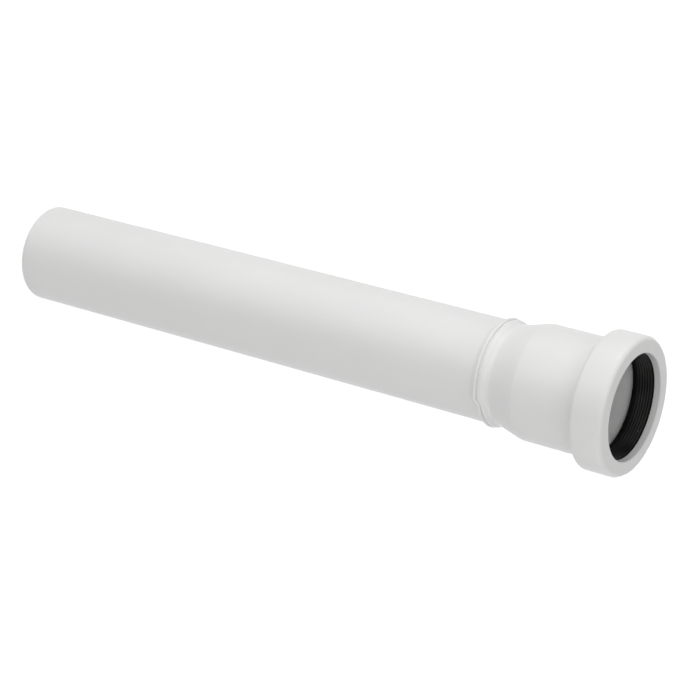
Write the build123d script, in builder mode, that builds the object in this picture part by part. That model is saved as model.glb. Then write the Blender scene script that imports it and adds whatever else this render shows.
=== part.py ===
from build123d import *
from math import atan2, tan
import os

# A waste pipe with a moulded push-fit socket and a rubber lip seal, in millimetres.
# The axis is Z. The plain spigot end stands on Z = 0 and the socket's mouth faces up.

# Pipe
overall_length = 350.0     # spigot end to mouth
pipe_diameter = 50.0
pipe_wall = 3.0
spigot_edge = 0.4          # edge broken off the spigot's outer corner

# Socket, with depths measured down from the mouth
weld_depth = 71.0          # where the socket is welded to the pipe
collar_rise = 1.3          # crest of the weld collar above the pipe
collar_edge = 0.8          # edge broken off the collar at the weld
collar_length = 6.8
neck_sink = 0.1            # the neck lies this far under the pipe's outside
bore_depth = 50.0          # straight part of the bore, to where the flare begins
bore_clearance = 0.45      # room round a pipe pushed in, on the radius
socket_wall = 2.9
flare_round = 16.0         # where the flare runs into the socket's straight wall
bead_length = 17.0         # thick ring at the mouth that holds the seal
bead_wall = 2.7            # wall outside the seal groove
bead_back_edge = 1.0
bead_front_round = 2.5
rim_edge = 0.5
lead_in_rise = 0.3         # the mouth opens by this much, on the radius

# Seal groove and lip seal
groove_front_wall = 3.4    # wall between the mouth and the groove
groove_width = 10.6
groove_depth = 5.45        # below the bore
seal_clearance = 0.1       # room behind the seal, on the radius
seal_bite = 1.0            # the lip is this much smaller than the pipe, on the radius
seal_proud = 0.35          # the seal's front edge stands this far inside the bore
lip_land = 2.0             # straight run of the lip at its smallest diameter
lip_tip = 1.3              # thickness of the lip at its free edge
lip_root = 1.9             # thickness of the lip where it leaves the seal's body
hollow_depth = 6.4         # hollow behind the lip, open to the inside of the socket
hollow_width = 2.2         # at the seal's back

# Radii that follow from the sizes above
pipe_radius = pipe_diameter / 2
pipe_bore = pipe_radius - pipe_wall
collar_radius = pipe_radius + collar_rise
neck_radius = pipe_radius - neck_sink
bore_radius = pipe_radius + bore_clearance
socket_radius = bore_radius + socket_wall
rim_radius = bore_radius + lead_in_rise
groove_radius = bore_radius + groove_depth
bead_radius = groove_radius + bead_wall
seal_radius = groove_radius - seal_clearance
seal_front_radius = bore_radius - seal_proud
lip_radius = pipe_radius - seal_bite
hollow_radius = lip_radius + lip_tip + hollow_width

# Heights that follow from the sizes above
mouth_z = overall_length
weld_z = mouth_z - weld_depth
crest_z = weld_z + collar_edge
neck_z = weld_z + collar_length
bore_z = mouth_z - bore_depth
bead_z = mouth_z - bead_length
groove_top_z = mouth_z - groove_front_wall
groove_bottom_z = groove_top_z - groove_width
land_z = groove_bottom_z + lip_land
root_z = groove_bottom_z + hollow_depth

# The flare keeps the socket's wall, so its inside ends a little lower than its outside
flare_angle = atan2(socket_radius - neck_radius, bore_z - neck_z)
flare_top_z = bore_z - socket_wall * tan(flare_angle / 2)
flare_bottom_z = flare_top_z - (bore_radius - pipe_bore) / tan(flare_angle)

# The seal's inside narrows evenly from its front edge to the lip's straight run
lip_slope = (seal_front_radius - lip_radius) / (groove_top_z - land_z)
root_radius = lip_radius + (root_z - land_z) * lip_slope + lip_root

# Pipe: an extruded tube, cut square, with the outer corner of its spigot end broken
with BuildPart() as pipe:
    with BuildSketch(Plane.XY):
        Circle(pipe_radius)
        Circle(pipe_bore, mode=Mode.SUBTRACT)
    extrude(amount=weld_z)
    end_edges = pipe.edges().filter_by(GeomType.CIRCLE).group_by(Axis.Z)[0]
    chamfer(end_edges.sort_by(SortBy.RADIUS)[-1], length=spigot_edge)

# Socket: one moulded wall turned about the axis, from the weld collar over the flare to the mouth
with BuildPart() as socket:
    with BuildSketch(Plane.XZ) as socket_section:
        with BuildLine():
            Polyline((pipe_bore, weld_z), (collar_radius - collar_edge, weld_z), (collar_radius, crest_z))
            TangentArc((collar_radius, crest_z), (neck_radius, neck_z), tangent=(0, 1))
            Polyline(
                (neck_radius, neck_z),
                (socket_radius, bore_z),
                (socket_radius, bead_z),
                (bead_radius, bead_z),
                (bead_radius, mouth_z),
                (rim_radius, mouth_z),
                (bore_radius, groove_top_z),
                (groove_radius, groove_top_z),
                (groove_radius, groove_bottom_z),
                (bore_radius, groove_bottom_z),
                (bore_radius, flare_top_z),
                (pipe_bore, flare_bottom_z),
                (pipe_bore, weld_z),
            )
        make_face()
        rounded_corners = {(socket_radius, bore_z): flare_round, (bead_radius, mouth_z): bead_front_round}
        for corner, radius in rounded_corners.items():
            fillet(socket_section.vertices().sort_by_distance(corner)[0], radius)
        broken_corners = {(bead_radius, bead_z): bead_back_edge, (rim_radius, mouth_z): rim_edge}
        for corner, length in broken_corners.items():
            chamfer(socket_section.vertices().sort_by_distance(corner)[0], length)
    revolve(axis=Axis.Z)

# Lip seal: a rubber ring whose inside narrows to a lip, with a hollow behind the lip
with BuildPart() as lip_seal:
    with BuildSketch(Plane.XZ):
        with BuildLine():
            Polyline(
                (seal_radius, groove_top_z),
                (seal_front_radius, groove_top_z),
                (lip_radius, land_z),
                (lip_radius, groove_bottom_z),
                (lip_radius + lip_tip, groove_bottom_z),
                (root_radius, root_z),
                (hollow_radius, root_z),
                (hollow_radius, groove_bottom_z),
                (seal_radius, groove_bottom_z),
                close=True,
            )
        make_face()
    revolve(axis=Axis.Z)

pipe.part.label = "pipe"
socket.part.label = "socket"
lip_seal.part.label = "lip_seal"

os.makedirs("parts", exist_ok=True)
export_step(pipe.part, "parts/pipe.step")
export_step(socket.part, "parts/socket.step")
export_step(lip_seal.part, "parts/lip_seal.step")
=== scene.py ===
from functools import partial
from math import atan2, cos, hypot, pi, radians, sin, tan

import bpy
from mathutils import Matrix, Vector


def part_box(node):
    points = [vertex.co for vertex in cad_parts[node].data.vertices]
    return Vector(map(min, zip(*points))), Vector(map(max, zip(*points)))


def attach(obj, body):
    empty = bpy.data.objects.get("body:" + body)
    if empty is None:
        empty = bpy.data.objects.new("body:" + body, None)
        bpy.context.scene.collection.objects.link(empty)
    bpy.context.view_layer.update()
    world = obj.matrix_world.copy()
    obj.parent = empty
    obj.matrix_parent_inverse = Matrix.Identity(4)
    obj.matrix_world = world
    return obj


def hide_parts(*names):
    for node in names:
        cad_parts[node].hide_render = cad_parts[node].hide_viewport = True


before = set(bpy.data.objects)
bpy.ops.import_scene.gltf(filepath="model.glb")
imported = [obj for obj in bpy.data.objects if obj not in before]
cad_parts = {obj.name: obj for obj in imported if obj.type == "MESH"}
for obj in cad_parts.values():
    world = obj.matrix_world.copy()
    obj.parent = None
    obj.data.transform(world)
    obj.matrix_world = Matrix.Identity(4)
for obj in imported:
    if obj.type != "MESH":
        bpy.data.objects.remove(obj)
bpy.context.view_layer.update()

# A white waste pipe with a socket welded on and a black lip seal in the socket's mouth.
# Sizes are in millimetres, as radius and height, and become metres where a section is drawn.

MM = 0.001
STEPS_ROUND = 160
ARC_STEP = radians(9)
CREASE = radians(28)

# Heights of the weld, the mouth and the seal's two ends
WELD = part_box("socket")[0].z / MM
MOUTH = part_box("socket")[1].z / MM
SEAL_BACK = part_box("lip_seal")[0].z / MM
SEAL_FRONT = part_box("lip_seal")[1].z / MM

# Radii
PIPE_OUT = 25.0
PIPE_IN = 22.0
NECK = 24.5
BORE = 25.45
SOCKET_OUT = 28.35
RING_OUT = 33.6
GROOVE = 30.9
SEAL_OUT = 30.8
LIP = 24.0

# The pipe swells a little where it was pressed against the socket
SWELL = 0.95
SWELL_LENGTH = 3.2
SWELL_STEPS = 6

# The raised weld line and the collar beside it, as radius and height above the weld
WELD_RIDGE = (
    (25.85, 0.0), (26.32, 0.1), (26.5, 0.26), (26.5, 0.44),
    (26.38, 0.72), (26.2, 0.98), (25.95, 1.14),
)
COLLAR = (
    (25.45, 1.24), (25.12, 1.36), (25.14, 1.58), (25.55, 1.72),
    (25.8, 1.94), (25.92, 2.35), (25.95, 2.85), (25.9, 3.35),
    (25.76, 3.85), (25.54, 4.3), (25.24, 4.7), (24.94, 5.05),
    (24.7, 5.4), (24.55, 5.8),
)
NECK_END = 7.4

# The weld line lies a step nearer the mouth over half of the turn
WELD_STEP = 2.0
STEP_START = radians(-50)
STEP_END = radians(130)
STEP_EDGE = radians(4)
STEP_REACH = 9.0

# Depths below the mouth, and how far the mouth opens
RING_LENGTH = 17.0
FLARE_TOP = 50.0
FLARE_TOP_INSIDE = 50.35
FLARE_FOOT_INSIDE = 64.55
LEAD_IN = 0.3

# The seal: its front edge stands inside the bore, and a hollow lies behind its lip
SEAL_PROUD = 0.35
LIP_LAND = 2.0
LIP_TIP = 1.3
HOLLOW_DEPTH = 6.4
HOLLOW_OUT = 27.5
HOLLOW_IN = 26.45

# Ribs round the seal's inside, counted from its front, with one rib's rise over its pitch
RIB_COUNT = 6
RIB_START = 0.7
RIB_PITCH = 1.27
RIB_SINK = 0.42
RIB_SHAPE = ((0.0, 0.0), (0.12, 0.14), (0.3, 0.52), (0.5, 0.62), (0.7, 0.52), (0.88, 0.14))


# Sections

def rounded(corners):
    """A closed line through corners (radius, height, rounding), with arcs at the rounded ones."""
    line = []
    for i, (r, z, rounding) in enumerate(corners):
        if not rounding:
            line.append((r, z))
            continue
        before = corners[i - 1]
        after = corners[(i + 1) % len(corners)]
        a = ((before[0] - r), (before[1] - z))
        b = ((after[0] - r), (after[1] - z))
        a = (a[0] / hypot(*a), a[1] / hypot(*a))
        b = (b[0] / hypot(*b), b[1] / hypot(*b))
        turn = atan2(a[0] * b[1] - a[1] * b[0], a[0] * b[0] + a[1] * b[1])
        away = rounding / tan(abs(turn) / 2)
        middle = (a[0] + b[0], a[1] + b[1])
        reach = rounding / sin(abs(turn) / 2) / hypot(*middle)
        centre = (r + middle[0] * reach, z + middle[1] * reach)
        start = atan2(z + a[1] * away - centre[1], r + a[0] * away - centre[0])
        sweep = (pi - abs(turn)) * (-1 if turn > 0 else 1)
        count = max(3, round(abs(sweep) / ARC_STEP))
        for k in range(count + 1):
            angle = start + sweep * k / count
            line.append((centre[0] + rounding * cos(angle), centre[1] + rounding * sin(angle)))
    return line


def divided(line, longest):
    """Breaks the long straight runs of a closed line into shorter ones."""
    parts = []
    for (r0, z0), (r1, z1) in zip(line, line[1:] + line[:1]):
        count = max(1, round(hypot(r1 - r0, z1 - z0) / longest))
        parts += [(r0 + (r1 - r0) * k / count, z0 + (z1 - z0) * k / count) for k in range(count)]
    return parts


def pipe_section():
    swell = []
    for k in range(SWELL_STEPS + 1):
        z = WELD - SWELL_LENGTH + SWELL_LENGTH * k / SWELL_STEPS
        swell.append((PIPE_OUT + SWELL * (k / SWELL_STEPS) ** 2, z, 0))
    return divided(rounded([
        (PIPE_IN, WELD, 0),
        (PIPE_IN, 0.0, 0.3),
        (PIPE_OUT, 0.0, 0.5),
        *swell,
    ]), longest=14.0)


def socket_section():
    return divided(rounded([
        (PIPE_IN, WELD, 0),
        *[(r, WELD + z, 0) for r, z in WELD_RIDGE + COLLAR],
        (NECK, WELD + NECK_END, 2.0),
        (SOCKET_OUT, MOUTH - FLARE_TOP, 7.0),
        (SOCKET_OUT, MOUTH - RING_LENGTH, 1.2),
        (RING_OUT, MOUTH - RING_LENGTH, 2.2),
        (RING_OUT, MOUTH, 2.5),
        (BORE + LEAD_IN, MOUTH, 0.7),
        (BORE, SEAL_FRONT, 0.15),
        (GROOVE, SEAL_FRONT, 0),
        (GROOVE, SEAL_BACK, 0),
        (BORE, SEAL_BACK, 0.3),
        (BORE, MOUTH - FLARE_TOP_INSIDE, 10.0),
        (PIPE_IN, MOUTH - FLARE_FOOT_INSIDE, 10.0),
    ]), longest=8.0)


def seal_section():
    front = BORE - SEAL_PROUD
    land = SEAL_BACK + LIP_LAND
    slope = (front - LIP) / (SEAL_FRONT - land)
    ribs = []
    for k in range(RIB_COUNT):
        for share, rise in RIB_SHAPE:
            z = SEAL_FRONT - RIB_START - (k + share) * RIB_PITCH
            ribs.append((LIP + (z - land) * slope - rise + RIB_SINK, z, 0))
    return divided(rounded([
        (SEAL_OUT, SEAL_FRONT, 0.3),
        (SEAL_OUT, SEAL_BACK, 0.3),
        (HOLLOW_OUT, SEAL_BACK, 0.3),
        (HOLLOW_OUT, SEAL_BACK + HOLLOW_DEPTH, 0.8),
        (HOLLOW_IN, SEAL_BACK + HOLLOW_DEPTH, 0.5),
        (LIP + LIP_TIP, SEAL_BACK, 0.4),
        (LIP, SEAL_BACK, 0.5),
        (LIP, land - 0.2, 0.5),
        *reversed(ribs),
        (front, SEAL_FRONT, 0.4),
    ]), longest=3.0)


# Nodes

def add_node(tree, kind, links=(), **settings):
    """Adds a node. Each link gives one input, by name or place, a number or another's output."""
    new = tree.nodes.new(kind)
    for key, value in settings.items():
        setattr(new, key, value)
    for target, source in links:
        if isinstance(source, bpy.types.NodeSocket):
            tree.links.new(source, new.inputs[target])
        else:
            new.inputs[target].default_value = source
    return new


def add_math(tree, operation, *values):
    """The result of an operation on numbers or other nodes' outputs."""
    return add_node(tree, "ShaderNodeMath", enumerate(values), operation=operation).outputs[0]


def add_range(tree, value, start, end, low=0.0, high=1.0, easing="LINEAR"):
    """Runs from low to high as a value goes from start to end, and stops there."""
    return add_node(tree, "ShaderNodeMapRange", (
        ("Value", value), ("From Min", start), ("From Max", end), ("To Min", low), ("To Max", high),
    ), interpolation_type=easing).outputs[0]


# Turned pieces

def turned_tree():
    """Geometry nodes that sweep a section round the axis and step the weld line over part of it."""
    tree = bpy.data.node_groups.new("turned piece", "GeometryNodeTree")
    node = partial(add_node, tree)
    math = partial(add_math, tree)
    eased = partial(add_range, tree, easing="SMOOTHSTEP")
    sockets = {}
    for name, kind in (
        ("Section", "NodeSocketGeometry"),
        ("Path radius", "NodeSocketFloat"),
        ("Steps round", "NodeSocketInt"),
        ("Crease angle", "NodeSocketFloat"),
        ("Weld height", "NodeSocketFloat"),
        ("Weld step", "NodeSocketFloat"),
        ("Step starts", "NodeSocketFloat"),
        ("Step ends", "NodeSocketFloat"),
        ("Step reach", "NodeSocketFloat"),
        ("Finish", "NodeSocketMaterial"),
    ):
        socket = tree.interface.new_socket(name, in_out="INPUT", socket_type=kind)
        sockets[name] = socket.identifier
    tree.interface.new_socket("Piece", in_out="OUTPUT", socket_type="NodeSocketGeometry")

    given = node("NodeGroupInput").outputs
    path = node("GeometryNodeCurvePrimitiveCircle", (
        ("Resolution", given["Steps round"]), ("Radius", given["Path radius"])))
    swept = node("GeometryNodeCurveToMesh", (
        ("Curve", path.outputs["Curve"]), ("Profile Curve", given["Section"])))

    # The weld line's step: full between two angles, fading away from the weld's height
    position = node("GeometryNodeInputPosition").outputs[0]
    place = node("ShaderNodeSeparateXYZ", (("Vector", position),)).outputs
    angle = math("ARCTAN2", place["Y"], place["X"])
    starts, ends = given["Step starts"], given["Step ends"]
    rises = eased(angle, math("SUBTRACT", starts, STEP_EDGE), math("ADD", starts, STEP_EDGE))
    falls = eased(angle, math("ADD", ends, STEP_EDGE), math("SUBTRACT", ends, STEP_EDGE))
    distance = math("ABSOLUTE", math("SUBTRACT", place["Z"], given["Weld height"]))
    near = eased(distance, given["Step reach"], 0.0)
    share = math("MULTIPLY", math("MULTIPLY", rises, falls), near)
    lift = math("MULTIPLY", share, given["Weld step"])
    offset = node("ShaderNodeCombineXYZ", (("Z", lift),))
    stepped = node("GeometryNodeSetPosition", (
        ("Geometry", swept.outputs["Mesh"]), ("Offset", offset.outputs[0])))

    # Smooth all round, with creases where the section turns sharply
    smooth = node("GeometryNodeSetShadeSmooth", (
        ("Geometry", stepped.outputs[0]), ("Shade Smooth", True)), domain="FACE")
    bend = node("GeometryNodeInputMeshEdgeAngle").outputs["Unsigned Angle"]
    sharp = node("FunctionNodeCompare", (
        ("A", bend), ("B", given["Crease angle"])), operation="GREATER_THAN")
    creased = node("GeometryNodeSetShadeSmooth", (
        ("Geometry", smooth.outputs[0]), ("Selection", sharp.outputs[0]), ("Shade Smooth", False),
    ), domain="EDGE")
    real = node("GeometryNodeRealizeInstances", (("Geometry", creased.outputs[0]),))
    finish = node("GeometryNodeSetMaterial", (
        ("Geometry", real.outputs[0]), ("Material", given["Finish"])))
    node("NodeGroupOutput", (("Piece", finish.outputs[0]),))
    return tree, sockets


def turned(name, section, path_radius, finish, tree, sockets):
    """A closed wall turned from a section, as a plain mesh."""
    area = 0.0
    for (r0, z0), (r1, z1) in zip(section, section[1:] + section[:1]):
        area += r0 * z1 - r1 * z0
    if area > 0:
        section = section[::-1]
    drawing = bpy.data.curves.new(name + "_section", "CURVE")
    drawing.dimensions = "3D"
    spline = drawing.splines.new("POLY")
    spline.points.add(len(section) - 1)
    for point, (r, z) in zip(spline.points, section):
        point.co = ((r - path_radius) * MM, -z * MM, 0.0, 1.0)
    spline.use_cyclic_u = True
    sketch = bpy.data.objects.new(name + "_section", drawing)
    bpy.context.scene.collection.objects.link(sketch)
    lathe = sketch.modifiers.new("turned piece", "NODES")
    lathe.node_group = tree
    for socket, value in (
        ("Path radius", path_radius * MM),
        ("Steps round", STEPS_ROUND),
        ("Crease angle", CREASE),
        ("Weld height", WELD * MM),
        ("Weld step", WELD_STEP * MM),
        ("Step starts", STEP_START),
        ("Step ends", STEP_END),
        ("Step reach", STEP_REACH * MM),
        ("Finish", finish),
    ):
        lathe[sockets[socket]] = value
    seen = sketch.evaluated_get(bpy.context.evaluated_depsgraph_get())
    mesh = bpy.data.meshes.new_from_object(seen)
    mesh.name = name
    bpy.data.objects.remove(sketch)
    piece = bpy.data.objects.new(name, mesh)
    bpy.context.scene.collection.objects.link(piece)
    return piece


# Finishes

# Most of a noise lies between these two values
NOISE_LOW = 0.3
NOISE_HIGH = 0.7

# Places of the two colours that a mix node takes, and of the colour that it gives
MIX_BELOW = 6
MIX_ABOVE = 7
MIX_RESULT = 2


class Finish:
    """A material with a principled shader, and short ways to add nodes to it."""

    def __init__(self, name, specular):
        self.material = bpy.data.materials.new(name)
        self.material.use_nodes = True
        self.tree = self.material.node_tree
        self.shader = self.tree.nodes["Principled BSDF"]
        self.shader.inputs["Specular IOR Level"].default_value = specular
        self.node = partial(add_node, self.tree)
        self.math = partial(add_math, self.tree)
        self.range = partial(add_range, self.tree)
        self.coords = self.node("ShaderNodeTexCoord").outputs["Object"]

    def noise(self, scale, detail, stretch=(1.0, 1.0, 1.0), shift=(0.0, 0.0, 0.0), fine=0.55):
        mapped = self.node("ShaderNodeMapping", (
            ("Vector", self.coords), ("Location", shift), ("Scale", stretch))).outputs[0]
        return self.node("ShaderNodeTexNoise", (
            ("Vector", mapped), ("Scale", scale), ("Detail", detail), ("Roughness", fine),
        )).outputs[0]

    def between(self, value, low, high, dark, light):
        """Colours that run from dark to light as a value goes from low to high."""
        ramp = self.node("ShaderNodeValToRGB", (("Fac", value),))
        for stop, place, colour in zip(ramp.color_ramp.elements, (low, high), (dark, light)):
            stop.position = place
            stop.color = (*colour, 1.0)
        return ramp.outputs["Color"]

    def levels(self, noise, low, high):
        """Spreads a noise over the numbers from low to high."""
        return self.range(noise, NOISE_LOW, NOISE_HIGH, low, high)

    def over(self, share, below, above):
        """Lays a plain colour over another by a share."""
        return self.node("ShaderNodeMix", (
            ("Factor", share), (MIX_BELOW, below), (MIX_ABOVE, (*above, 1.0)),
        ), data_type="RGBA").outputs[MIX_RESULT]

    def relief(self, height, distance, strength, under=None):
        links = [("Height", height), ("Distance", distance), ("Strength", strength)]
        if under is not None:
            links.append(("Normal", under))
        return self.node("ShaderNodeBump", links).outputs["Normal"]

    def use(self, socket, source):
        self.tree.links.new(source, self.shader.inputs[socket])


def extruded_white():
    """Satin white plastic with the faint lengthwise lines of an extruded tube."""
    finish = Finish("extruded white plastic", specular=0.3)
    lines = finish.noise(scale=420.0, detail=3.0, stretch=(1.0, 1.0, 0.012))
    clouds = finish.noise(scale=28.0, detail=2.0, stretch=(1.0, 1.0, 0.5))
    grain = finish.noise(scale=1500.0, detail=2.0)
    white = finish.between(
        clouds, NOISE_LOW, NOISE_HIGH, dark=(0.845, 0.845, 0.84), light=(0.872, 0.872, 0.866))
    drawn = finish.relief(lines, 0.04 * MM, 0.5)
    finish.use("Base Color", white)
    finish.use("Roughness", finish.levels(lines, 0.36, 0.45))
    finish.use("Normal", finish.relief(grain, 0.012 * MM, 0.5, drawn))
    return finish.material


def moulded_white():
    """Satin white plastic with the fine even grain and faint rings of a moulding."""
    finish = Finish("moulded white plastic", specular=0.3)
    rings = finish.noise(scale=300.0, detail=2.0, stretch=(0.02, 0.02, 1.0))
    clouds = finish.noise(scale=34.0, detail=2.0)
    grain = finish.noise(scale=1300.0, detail=3.0)
    white = finish.between(
        clouds, NOISE_LOW, NOISE_HIGH, dark=(0.848, 0.848, 0.842), light=(0.874, 0.874, 0.868))
    ringed = finish.relief(rings, 0.03 * MM, 0.4)
    finish.use("Base Color", white)
    finish.use("Roughness", finish.levels(grain, 0.34, 0.43))
    finish.use("Normal", finish.relief(grain, 0.015 * MM, 0.5, ringed))
    return finish.material


def seal_rubber():
    """Matt black rubber with a painted sheen, unevenly spread, on the crests of its ribs between the
    lip and the front edge, and sparse dust.
    """
    finish = Finish("black seal rubber", specular=0.08)
    mottle = finish.noise(scale=160.0, detail=4.0)
    patches = finish.noise(scale=38.0, detail=2.0, shift=(0.0, 0.0, 0.6))
    skin = finish.noise(scale=2400.0, detail=2.0)
    black = finish.between(
        mottle, 0.35, 0.72, dark=(0.003, 0.003, 0.0032), light=(0.009, 0.009, 0.0093))

    # Painted sheen: a pale colour lies on the crests of the ribs, between the lip and the front
    # edge, where light would catch them
    height = finish.node("ShaderNodeSeparateXYZ", (("Vector", finish.coords),)).outputs["Z"]
    lip_end = SEAL_BACK + LIP_LAND
    above_lip = finish.range(height, lip_end * MM, (lip_end + 1.8) * MM)
    below_front = finish.range(height, (SEAL_FRONT - 0.4) * MM, (SEAL_FRONT - 1.4) * MM)
    ribbed = finish.math("MULTIPLY", above_lip, below_front)
    turn = 2 * pi / RIB_PITCH
    phase = finish.math("MULTIPLY_ADD", height, -turn / MM, (SEAL_FRONT - RIB_START) * turn)
    crest = finish.range(finish.math("COSINE", phase), 1.0, -1.0, low=0.35, high=1.0)
    uneven_sheen = finish.math("MULTIPLY", crest, finish.levels(patches, 0.1, 1.0))
    painted_sheen = finish.math("MULTIPLY", ribbed, uneven_sheen)
    # The painted sheen's pale colour is laid over the black rubber
    black_with_painted_sheen = finish.over(painted_sheen, black, (0.065, 0.065, 0.063))

    # Dust lies as small specks in a few of the cells of a scatter
    cells = finish.node("ShaderNodeTexVoronoi", (("Vector", finish.coords), ("Scale", 170.0)))
    speck = finish.range(cells.outputs["Distance"], start=0.1, end=0.05)
    chance = finish.node("ShaderNodeSeparateColor", (("Color", cells.outputs["Color"]),))
    dusty = finish.math("GREATER_THAN", chance.outputs["Red"], 0.7)
    dust = finish.math("MULTIPLY", speck, dusty)
    finish.use("Base Color", finish.over(dust, black_with_painted_sheen, (0.16, 0.16, 0.156)))
    finish.use("Roughness", finish.levels(mottle, 0.46, 0.62))
    finish.use("Normal", finish.relief(skin, 0.03 * MM, 0.6))
    return finish.material


# Studio

def background_rays(tree):
    """1 for the rays that show the background: straight to the camera, in gloss or through glass."""
    rays = add_node(tree, "ShaderNodeLightPath").outputs
    glossy_too = add_math(tree, "MAXIMUM", rays["Is Camera Ray"], rays["Is Glossy Ray"])
    return add_math(tree, "MAXIMUM", glossy_too, rays["Is Transmission Ray"])


def pale_floor(side, drop, glow):
    """A floor just under the object that keeps its shadow and otherwise shows as plain white."""
    mesh = bpy.data.meshes.new("floor")
    corners = ((-1, -1), (1, -1), (1, 1), (-1, 1))
    mesh.from_pydata([(x * side, y * side, -drop) for x, y in corners], [], [(0, 1, 2, 3)])
    floor = bpy.data.objects.new("floor", mesh)
    bpy.context.scene.collection.objects.link(floor)
    finish = Finish("pale floor", specular=0.1)
    finish.shader.inputs["Roughness"].default_value = 0.9
    finish.shader.inputs["Base Color"].default_value = (0.45, 0.45, 0.45, 1.0)
    finish.shader.inputs["Emission Color"].default_value = (1.0, 1.0, 1.0, 1.0)
    finish.use("Emission Strength", finish.math("MULTIPLY", background_rays(finish.tree), glow))
    mesh.materials.append(finish.material)


def white_room(level):
    """Even light from a pale room that shows as plain white."""
    world = bpy.data.worlds.new("white room")
    bpy.context.scene.world = world
    world.use_nodes = True
    tree = world.node_tree
    shader = tree.nodes["Background"]
    shader.inputs["Color"].default_value = (1.0, 1.0, 1.0, 1.0)
    strength = add_range(tree, background_rays(tree), 0.0, 1.0, level, 1.0)
    tree.links.new(strength, shader.inputs["Strength"])


def softbox(name, azimuth, rise, distance, width, height, power):
    """A soft lamp aimed at the socket, at angles seen from there. Azimuth 0 is the camera's side."""
    lamp = bpy.data.lights.new(name, "AREA")
    lamp.shape = "RECTANGLE"
    lamp.size = width
    lamp.size_y = height
    lamp.energy = power
    box = bpy.data.objects.new(name, lamp)
    bpy.context.scene.collection.objects.link(box)
    aim = Vector((0.0, 0.0, 0.3))
    away = Vector((sin(azimuth) * cos(rise), -cos(azimuth) * cos(rise), sin(rise)))
    box.location = aim + away * distance
    box.rotation_euler = away.to_track_quat("Z", "Y").to_euler()
    box.visible_camera = False


def photo_camera():
    lens = bpy.data.cameras.new("photo camera")
    lens.sensor_width = 36.0
    lens.lens = 119.535
    lens.clip_start = 0.05
    camera = bpy.data.objects.new("photo camera", lens)
    bpy.context.scene.collection.objects.link(camera)
    camera.location = (0.0, -0.96263, 0.76889)
    camera.rotation_euler = (radians(-23.4313), radians(-55.8236), radians(117.2889))
    bpy.context.scene.camera = camera


# The object
tree, sockets = turned_tree()
extruded = extruded_white()
moulded = moulded_white()
rubber = seal_rubber()
for name, node, section, path_radius, finish, slot in (
    ("plain_pipe", "pipe", pipe_section(), 23.5, extruded, "white_plastic"),
    ("welded_socket", "socket", socket_section(), 27.0, moulded, "white_plastic"),
    ("ribbed_lip_seal", "lip_seal", seal_section(), 28.0, rubber, "seal_rubber"),
):
    piece = turned(name, section, path_radius, finish, tree, sockets)
    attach(piece, "root")
    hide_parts(node)

# The studio, with each lamp's angles in degrees, its distance and size in metres, and its power
pale_floor(side=4.0, drop=0.0002, glow=0.8)
white_room(0.44)
for name, azimuth, rise, distance, width, height, power in (
    ("key softbox", -70, -5.5, 1.3, 0.5, 0.32, 4.5),
    ("front softbox", -23, -6.5, 1.3, 0.6, 0.3, 3.85),
    ("side softbox", 94, -6.5, 1.3, 0.5, 0.3, 3.7),
    ("back softbox", 180, -6.5, 1.3, 0.9, 0.3, 3.0),
    ("overhead softbox", 0, 57, 1.6, 1.1, 1.1, 5.2),
):
    softbox(name, radians(azimuth), radians(rise), distance, width, height, power)
photo_camera()
bpy.context.scene.view_settings.view_transform = "Standard"
